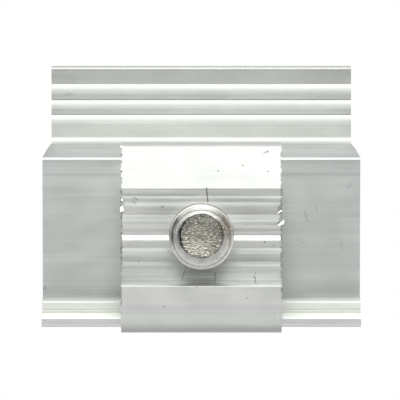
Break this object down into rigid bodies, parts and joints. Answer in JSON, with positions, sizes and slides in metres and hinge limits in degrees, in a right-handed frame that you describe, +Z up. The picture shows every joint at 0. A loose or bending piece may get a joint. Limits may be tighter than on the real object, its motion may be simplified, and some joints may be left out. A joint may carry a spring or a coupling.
{
  "type": "solar end clamp",
  "caption": "End clamp that holds a solar module's edge on a mounting rail: hooked aluminium bracket, socket screw with lock washer, and a channel nut drawn up by the screw.",
  "frame": {"origin": "on the screw's axis, in the plane of the rail's top face that the bracket's foot stands on", "axes": "+Z up along the screw towards its head, X along the extrusions and the rail, -Y towards the clamped module"},
  "size_m": [0.04, 0.0311, 0.0478],
  "materials": {
    "bracket": "satin clear anodised extrusion",
    "nut": "mill finish extrusion with drawing lines, sawn ends",
    "screw": "stainless steel, rolled thread, sheared tip",
    "washer": "stainless spring steel"
  },
  "bodies": {
    "bracket": {"clamp_bracket": "bracket", "lock_washer": "washer"},
    "screw": {"socket_screw": "screw"},
    "nut": {"channel_nut": "nut"}
  },
  "joints": [
    {"name": "screw_turn", "type": "hinge", "parent": "bracket", "child": "screw", "pos_m": [0, 0, 0], "axis": [0, 0, 1], "range_deg": [-792, 1152]},
    {"name": "nut_travel", "type": "slide", "parent": "bracket", "child": "nut", "axis": [0, 0, 1], "range_m": [-0.00401, 0.00276]}
  ],
  "couplings": [
    {"joint": "nut_travel", "follows": "screw_turn", "m_per_rad": -0.00019894}
  ]
}
